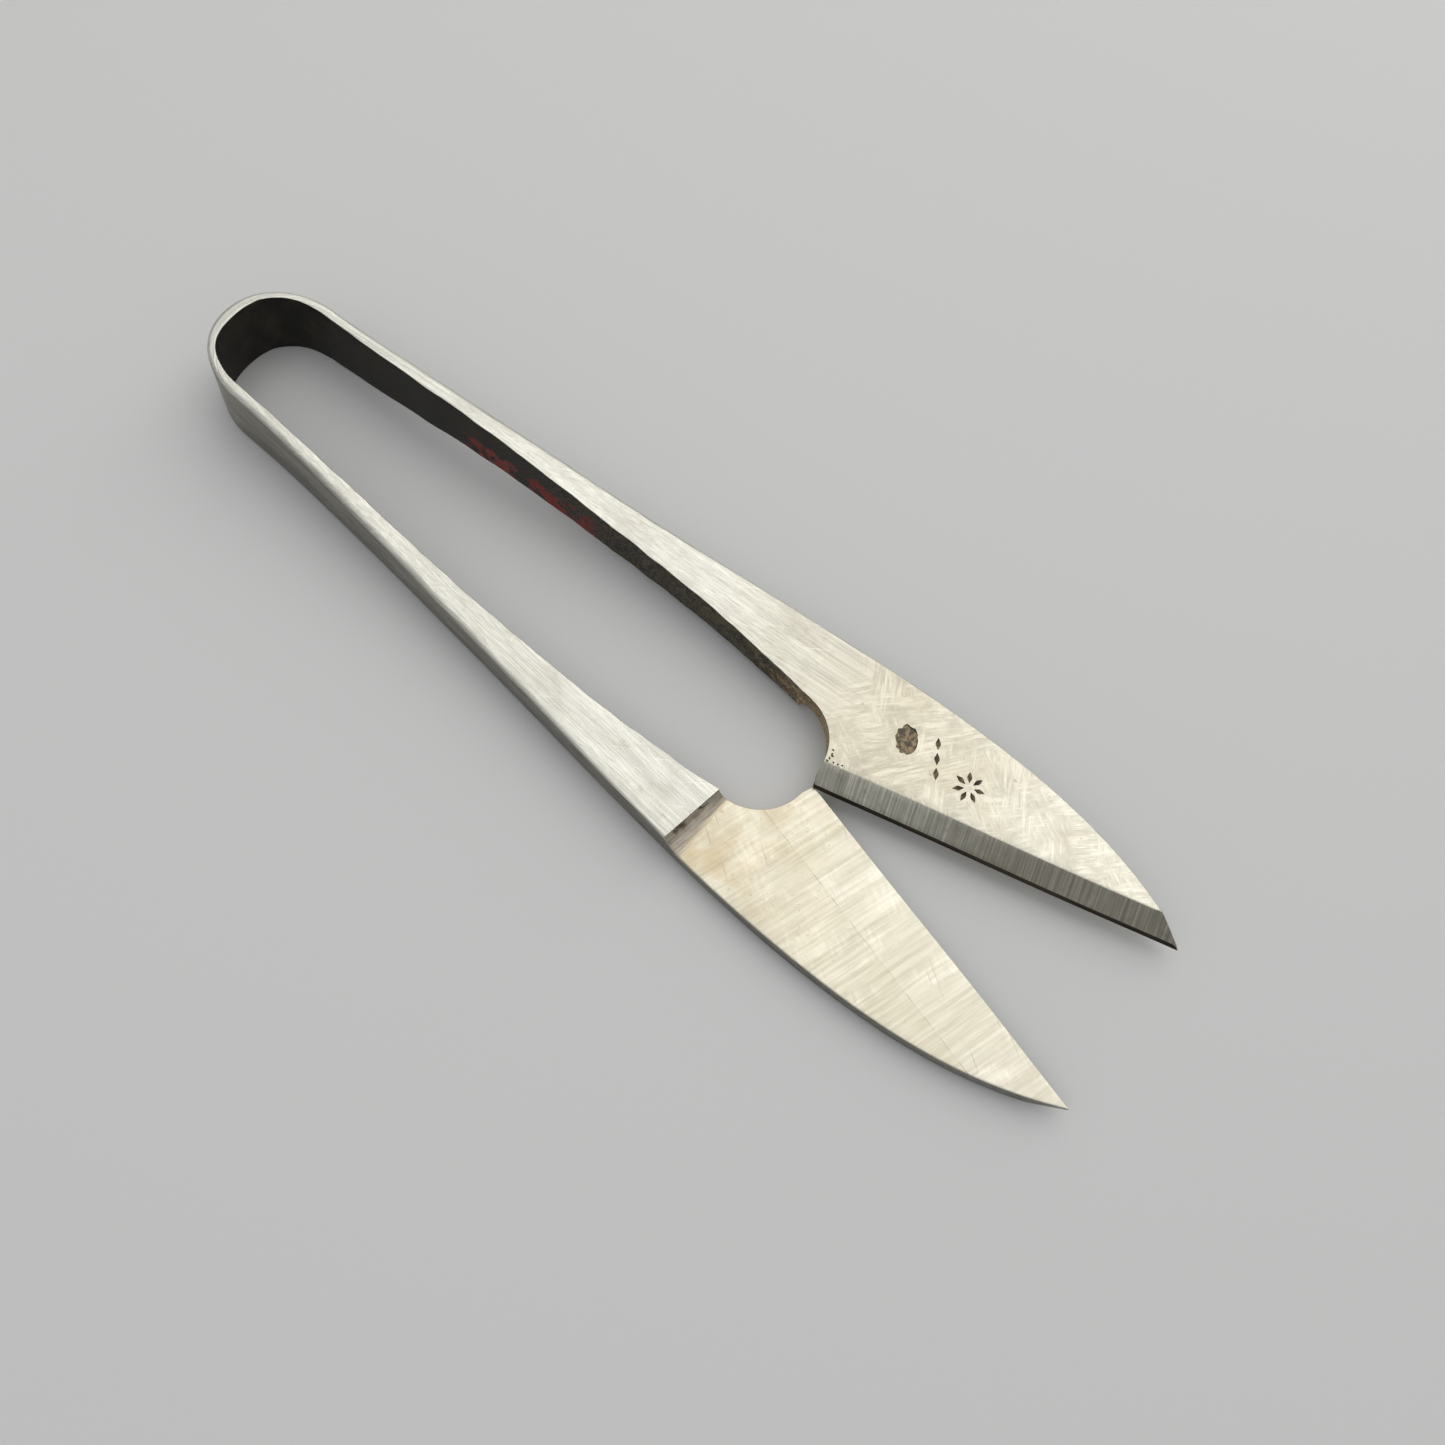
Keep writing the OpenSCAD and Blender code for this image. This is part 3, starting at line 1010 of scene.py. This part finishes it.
# %% [markdown]
# ### Scraped face of the upper blade
# The top of the upper blade was levelled with a scraper, in short strokes that cross. Four
# sets of file lines at different turns, each shown through its own cloud, give that look.

# %% Scraped face
scraped_face, tree, shader, place = start_metal("scraped_face", 1.0)
parts = add(tree, "SeparateXYZ", {0: place}).outputs
drawn = use(tree, drawn_top, Place=place)
strokes = None
for turn, size, seed in ((1.05, 3.5, 0.0), (0.55, 4.5, 31.0), (-0.75, 3.0, 57.0), (2.2, 5.0, 83.0)):
    moved = add(tree, "VectorMath", {0: place, 1: (seed, seed, 0)}, operation="ADD").outputs[0]
    stroke = use(tree, file_lines, Place=place, Turn=turn, Fineness=4.6, Upright=0.4, Run=2.2)
    shown = use(tree, clouds, Place=moved, Size=size, Low=0.40, High=0.62)
    stroke = times(tree, stroke, shown)
    strokes = stroke if strokes is None else math_node(tree, "MAXIMUM", strokes, stroke)
stain = use(tree, clouds, Place=place, Size=5.0, Low=0.42, High=0.72)
specks = use(tree, pits, Place=place, Fineness=1.6, Amount=0.1)
far_end = between(tree, parts["X"], SHOULDER + 6, LENGTH - 8)
near_end = mix(tree, strokes, (0.475, 0.445, 0.355, 1), (0.69, 0.655, 0.535, 1))
pale_end = mix(tree, strokes, (0.62, 0.595, 0.50, 1), (0.84, 0.81, 0.70, 1))
colour = mix(tree, far_end, near_end, pale_end)
colour = mix(tree, times(tree, stain, 0.3), colour, (0.54, 0.455, 0.325, 1))
colour = mix(tree, times(tree, specks, 0.6), colour, (0.12, 0.10, 0.07, 1))
scraped = between(tree, parts["X"], SHOULDER - 0.3, SHOULDER + 6)
colour = mix(tree, scraped, drawn["Colour"], colour)
strokes = times(tree, strokes, scraped)
under = times(tree, drawn["Streak"], minus(tree, 1.0, scraped))
rough = plus(tree, times(tree, strokes, -0.12), 0.44)
finish_metal(tree, shader, colour, rough, plus(tree, strokes, under), 0.5, 0.015)

# %% [markdown]
# ### Ground bevel and honed edge
# The bevel was ground straight across on a wheel, so its fine lines run from the ridge to the edge. It is
# darker than the faces, with grey-green stain. The honed face below it is narrow and steep, with brown
# streaks of its own; its near-black colour is painted shade for the dark shadowed floor that the steep
# face mirrors.

# %% Ground bevel
EDGE_TURN = math.atan2(upper.along.y, upper.along.x)
ground_bevel, tree, shader, place = start_metal("ground_bevel", 1.0)
parts = add(tree, "SeparateXYZ", {0: place}).outputs
lean = times(tree, math_node(tree, "SIGN", parts["Y"]), math.pi / 2 - EDGE_TURN - 0.12)
lines = use(tree, file_lines, Place=place, Turn=lean, Fineness=3.6, Upright=0.05, Run=14.0)
fine = use(tree, file_lines, Place=place, Turn=lean, Fineness=9.0, Upright=0.08, Run=9.0)
streak = plus(tree, times(tree, lines, 0.6), times(tree, fine, 0.4))
stain = use(tree, clouds, Place=place, Size=2.8, Low=0.4, High=0.68)
brown = use(tree, clouds, Place=place, Size=1.2, Low=0.55, High=0.72)
heel_tone = mix(tree, streak, (0.31, 0.295, 0.24, 1), (0.74, 0.715, 0.61, 1))
tip_tone = mix(tree, streak, (0.20, 0.185, 0.145, 1), (0.50, 0.475, 0.39, 1))
colour = mix(tree, between(tree, parts["X"], SHOULDER + 10, SHOULDER + 28), heel_tone, tip_tone)
colour = mix(tree, times(tree, stain, 0.4), colour, (0.27, 0.26, 0.205, 1))
colour = mix(tree, times(tree, brown, 0.35), colour, (0.25, 0.185, 0.12, 1))
rough = plus(tree, times(tree, lines, 0.14), 0.3)
finish_metal(tree, shader, colour, rough, streak, 0.6, 0.014)

# %% Honed edge
honed_edge, tree, shader, place = start_metal("honed_edge", 0.8)
lines = use(tree, file_lines, Place=place, Turn=-EDGE_TURN, Fineness=6.0, Upright=3.0, Run=8.0)
# painted shade: the honed face is coloured near-black for the dark floor it mirrors, over its own brown
# streaks
colour = mix(tree, lines, (0.020, 0.016, 0.012, 1), (0.075, 0.058, 0.043, 1))
rough = plus(tree, times(tree, lines, 0.1), 0.4)
finish_metal(tree, shader, colour, rough, lines, 0.3, 0.01)

# %% [markdown]
# ### Lapped flats
# The flat faces were lapped on a stone so that they shear. The strokes run across the
# blade, parallel to the shoulder. Cream patina lies over them, tan near the gullet, and a
# faint line shows where iron and steel were welded.

# %% Lapped flat
LAP_TURN = 1.27
WELD_WIDTH = 0.07


def weld_line(tree, parts):
    """A broken thin mask where the steel facing meets the iron."""
    along = times(tree, minus(tree, parts["X"], upper.heel.x), upper.inward.x)
    reach = minus(tree, math_node(tree, "ABSOLUTE", parts["Y"]), upper.heel.y)
    distance = plus(tree, along, times(tree, reach, upper.inward.y))
    off = math_node(tree, "ABSOLUTE", minus(tree, distance, upper.steel_w))
    thin = between(tree, off, WELD_WIDTH, 0.0)
    lengthwise = add(tree, "CombineXYZ", {"X": parts["X"]}).outputs[0]
    broken = add(tree, "TexNoise", {"Vector": lengthwise, "Scale": 0.45})
    return times(tree, thin, between(tree, broken.outputs["Fac"], 0.42, 0.6, 0.0, 0.6))


def lapped_flat(name, warm, pale, tan_strength):
    """A lapped face; the iron is warmer than the steel."""
    made, tree, shader, place = start_metal(name, 1.0)
    parts = add(tree, "SeparateXYZ", {0: place}).outputs
    cross = times(tree, math_node(tree, "SIGN", parts["Y"]), LAP_TURN)
    lines = use(tree, file_lines, Place=place, Turn=cross, Fineness=3.4, Upright=0.1, Run=8.0)
    swirl = use(tree, file_lines, Place=place, Turn=0.5, Fineness=3.0, Upright=0.1, Run=1.6)
    swirl_at = use(tree, clouds, Place=place, Size=3.6, Low=0.46, High=0.62)
    near_gullet = between(tree, parts["X"], 82.0, 67.0)
    tan_at = use(tree, clouds, Place=place, Size=2.6, Low=0.34, High=0.70)
    tan_at = times(tree, tan_at, near_gullet)
    grey_at = use(tree, clouds, Place=place, Size=4.2, Low=0.5, High=0.7)
    marks_at = use(tree, scratches, Place=place, Turn=0.6, Amount=0.12)
    specks = use(tree, pits, Place=place, Fineness=2.6, Amount=0.3)
    specks = times(tree, specks, between(tree, parts["X"], 88.0, 70.0, 0.15, 0.5))
    broad = use(tree, file_lines, Place=place, Turn=cross, Fineness=0.8, Upright=0.1, Run=12.0)
    texture = plus(tree, times(tree, lines, 0.45), times(tree, broad, 0.3))
    texture = plus(tree, texture, times(tree, times(tree, swirl, swirl_at), 0.35))
    colour = mix(tree, texture, warm, pale)
    colour = mix(tree, times(tree, grey_at, 0.22), colour, (0.50, 0.49, 0.43, 1))
    colour = mix(tree, times(tree, tan_at, tan_strength), colour, (0.50, 0.385, 0.215, 1))
    colour = mix(tree, times(tree, marks_at, 0.45), colour, (0.33, 0.29, 0.22, 1))
    colour = mix(tree, specks, colour, (0.40, 0.33, 0.21, 1))
    colour = mix(tree, weld_line(tree, parts), colour, (0.30, 0.26, 0.19, 1))
    rough = plus(tree, times(tree, texture, -0.1), 0.44)
    finish_metal(tree, shader, colour, rough, texture, 0.4, 0.012)
    return made


iron_flat = lapped_flat("iron_flat", (0.60, 0.555, 0.43, 1), (0.83, 0.785, 0.655, 1), 0.6)
steel_flat = lapped_flat("steel_flat", (0.63, 0.59, 0.47, 1), (0.86, 0.825, 0.70, 1), 0.5)

# %% [markdown]
# ### Filed hollow and mark floors
# The shoulder's hollow was cut with a small round file, so its lines run across the blade, with brown
# dirt in patches in the corner of the step, over painted shade that darkens the hollow evenly towards the
# step. Towards the flat it takes on the flat's tan. The punched marks hold rust on their floors, and
# their steep walls are coloured near-black as painted shade.

# %% Filed hollow
filed_hollow, tree, shader, place = start_metal("filed_hollow", 1.0)
parts = add(tree, "SeparateXYZ", {0: place}).outputs
cross = times(tree, math_node(tree, "SIGN", parts["Y"]), 1.41)
lines = use(tree, file_lines, Place=place, Turn=cross, Fineness=4.5, Upright=3.0, Run=12.0)
dirt = use(tree, clouds, Place=place, Size=0.9, Low=0.45, High=0.65)
wide = lower.outer(SHOULDER) - lower.inner(SHOULDER)
out_share = minus(tree, math_node(tree, "ABSOLUTE", parts["Y"]), lower.inner(SHOULDER))
step_x = minus(tree, SHOULDER + STEP_LEAD, times(tree, out_share, STEP_SKEW / wide))
past = minus(tree, parts["X"], step_x)
run = times(tree, out_share, (HOLLOW_OUT - HOLLOW_IN) / wide)
gone = math_node(tree, "DIVIDE", past, plus(tree, run, HOLLOW_IN))
near_step = between(tree, gone, 0.4, 0.05)
colour = mix(tree, lines, (0.56, 0.485, 0.385, 1), (0.93, 0.85, 0.71, 1))
colour = mix(tree, times(tree, dirt, 0.35), colour, (0.62, 0.47, 0.31, 1))
colour = mix(tree, between(tree, gone, 0.5, 1.0, 0.0, 0.8), colour, (0.62, 0.54, 0.38, 1))
# painted shade: the hollow is made evenly darker towards the corner of the step
colour = mix(tree, times(tree, near_step, 0.5), colour, (0.26, 0.21, 0.16, 1))
corner_dirt = times(tree, dirt, times(tree, near_step, 0.8))
colour = mix(tree, corner_dirt, colour, (0.08, 0.055, 0.035, 1))
rough = plus(tree, times(tree, lines, 0.1), 0.38)
finish_metal(tree, shader, colour, rough, lines, 0.6, 0.02)

# %% Mark floors
mark_floor, tree, shader, place = start_metal("mark_floor", 0.4)
patch = use(tree, clouds, Place=place, Size=0.5, Low=0.4, High=0.62)
grains = use(tree, pits, Place=place, Fineness=8.0, Amount=0.5)
floor_tone = mix(tree, patch, (0.10, 0.085, 0.06, 1), (0.46, 0.34, 0.21, 1))
floor_tone = mix(tree, grains, floor_tone, (0.03, 0.024, 0.018, 1))
# painted shade: the steep walls of the marks are coloured near-black by their facing, and the floors keep
# the rust tone
colour = mix(tree, between(tree, facing_up(tree), 0.55, 0.85), (0.035, 0.028, 0.02, 1), floor_tone)
rough = plus(tree, times(tree, patch, 0.25), 0.45)
finish_metal(tree, shader, colour, rough, grains, 0.6, 0.03)

# %% [markdown]
# ## Which face gets which finish
# The creases of the mesh are where one tool stopped and another began, so each polygon's
# own direction and place say which finish it has.

# %% Paint by facing
BOW_CENTRE = Vector((12, 0))
WALL_FACING = 0.72
FLAT_FACING = 0.6
BACK_FACING = 0.93
SLOPE_FACING = 0.5
OVERHANG = 0.05
NEAR_RIDGE = 0.1
HOLLOW_LIFT = 0.01
MARK_SUNK = 0.012
MARK_RIM = 0.6


def looks_inward(polygon):
    """True where a wall faces the space between the two limbs."""
    place = from_end(polygon.center).xy
    normal = polygon.normal.xy
    return abs(polygon.normal.z) < WALL_FACING and normal.dot(place - BOW_CENTRE) < 0


def paint(piece, finishes, choose):
    """Gives the piece its finishes, and each polygon the one that choose names."""
    for finish in finishes:
        piece.data.materials.append(finish)
    for polygon in piece.data.polygons:
        polygon.material_index = finishes.index(choose(polygon))
    smooth(piece)


def bar_finish(polygon):
    return forge_scale if looks_inward(polygon) else satin_iron


def blade_finish(limb, flat, back, struck=None):
    """Chooses a blade's finish from the height, the facing and the distance from the edge."""
    up = 1 if limb.face_up else -1

    def choose(polygon):
        place = from_end(polygon.center)
        lift = (place.z - limb.flat) * up
        facing = polygon.normal.z * up
        if facing > FLAT_FACING:
            return filed_hollow if lift > HOLLOW_LIFT else flat
        distance = off_edge(limb, place.xy)
        sunk = abs(limb.back(place.x) - place.z)
        rim = limb.outer(place.x) - abs(place.y)
        on_back = distance > limb.bevel_w + NEAR_RIDGE and rim > MARK_RIM
        if struck and facing < -OVERHANG and sunk > MARK_SUNK and on_back:
            return struck
        if facing < -BACK_FACING:
            return back
        if facing < -SLOPE_FACING and distance < limb.bevel_w + NEAR_RIDGE:
            return ground_bevel
        if distance < limb.hone_w + NEAR_RIDGE:
            return honed_edge
        return forge_scale if looks_inward(polygon) else satin_iron

    return choose


for piece in (crown, *legs.values(), *arms.values()):
    paint(piece, [satin_iron, forge_scale], bar_finish)
filed = [filed_hollow, ground_bevel, honed_edge]
paint(blades[upper][0], [scraped_face, iron_flat, *filed, satin_iron, forge_scale, mark_floor],
      blade_finish(upper, iron_flat, scraped_face, mark_floor))
paint(blades[lower][0], [iron_flat, satin_iron, *filed, forge_scale],
      blade_finish(lower, iron_flat, satin_iron))
paint(blades[upper][1], [steel_flat, scraped_face, *filed, satin_iron, forge_scale],
      blade_finish(upper, steel_flat, scraped_face))
paint(blades[lower][1], [steel_flat, satin_iron, *filed, forge_scale],
      blade_finish(lower, steel_flat, satin_iron))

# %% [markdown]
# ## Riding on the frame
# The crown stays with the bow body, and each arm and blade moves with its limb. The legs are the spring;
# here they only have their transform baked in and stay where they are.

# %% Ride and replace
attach(crown, "bow")
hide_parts("bow_crown")
for limb, word in LIMBS.items():
    body = word + "_limb"
    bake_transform(legs[limb])
    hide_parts(word + "_spring_leg")
    for piece, node, slot in ((arms[limb], "_arm", "brushed_iron"),
                              (blades[limb][0], "_blade", "blade_iron"),
                              (blades[limb][1], "_edge_steel", "hard_steel")):
        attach(piece, body)
        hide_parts(word + node)

# %% [markdown]
# ## Floor, light and camera
# A pale floor and big soft lights suit satin metal: it has no colour of its own beyond what
# it mirrors. The key light stands behind and above, so the level faces mirror it and shine.
# The bevel leans towards the dimmer room in front, where a weak second light keeps its lines
# readable, and a low light behind the far side runs along the rims.

# %% Floor
FLOOR_SIZE = 3.0
floor_mesh = bpy.data.meshes.new("floor")
half = FLOOR_SIZE / 2
corners = [(-half, -half, 0), (half, -half, 0), (half, half, 0), (-half, half, 0)]
floor_mesh.from_pydata(corners, [], [(0, 1, 2, 3)])
floor = bpy.data.objects.new("floor", floor_mesh)
bpy.context.scene.collection.objects.link(floor)
floor.location.z = cad_box[0].z - 0.02 * MM
floor_paint = bpy.data.materials.new("floor_paint")
floor_paint.use_nodes = True
floor_shader = floor_paint.node_tree.nodes["Principled BSDF"]
floor_shader.inputs["Base Color"].default_value = (0.70, 0.70, 0.69, 1)
floor_shader.inputs["Roughness"].default_value = 0.85
floor.data.materials.append(floor_paint)

# %% Lights


def softbox(name, place, aim, size, power, colour=(1, 1, 1)):
    """A square area light at a place, turned to its aim."""
    light = bpy.data.lights.new(name, "AREA")
    light.size = size
    light.energy = power
    light.color = colour
    made = bpy.data.objects.new(name, light)
    made.location = place
    made.rotation_euler = (Vector(aim) - Vector(place)).to_track_quat("-Z", "Y").to_euler()
    bpy.context.scene.collection.objects.link(made)


softbox("key_light", (-0.06, 0.24, 0.42), (0, 0, 0), 0.60, 1.22, (1.0, 0.985, 0.95))
softbox("front_light", (-0.08, -0.27, 0.43), (0, 0, 0), 0.32, 0.22, (0.98, 0.99, 1.0))
softbox("rim_light", (0.05, 0.50, 0.12), (0, 0, 0), 0.30, 0.26, (1.0, 0.99, 0.97))
world = bpy.data.worlds.new("room")
bpy.context.scene.world = world
world.use_nodes = True
world.node_tree.nodes["Background"].inputs["Color"].default_value = (0.95, 0.97, 1.0, 1)
world.node_tree.nodes["Background"].inputs["Strength"].default_value = 0.40
bpy.context.scene.view_settings.view_transform = "Standard"

# %% Camera
LENS = 35.76
ROLL = 12.24
camera_data = bpy.data.cameras.new("camera")
camera_data.lens = LENS
camera_data.sensor_width = 36
camera_data.clip_start = 0.005
camera = bpy.data.objects.new("camera", camera_data)
camera.location = (0.03351, -0.04714, 0.11988)
aim = Vector((0.00931, -0.00087, 0.003)) - camera.location
camera.rotation_mode = "QUATERNION"
camera.rotation_quaternion = aim.to_track_quat("-Z", "Y") @ Quaternion((0, 0, 1), math.radians(ROLL))
bpy.context.scene.collection.objects.link(camera)
bpy.context.scene.camera = camera
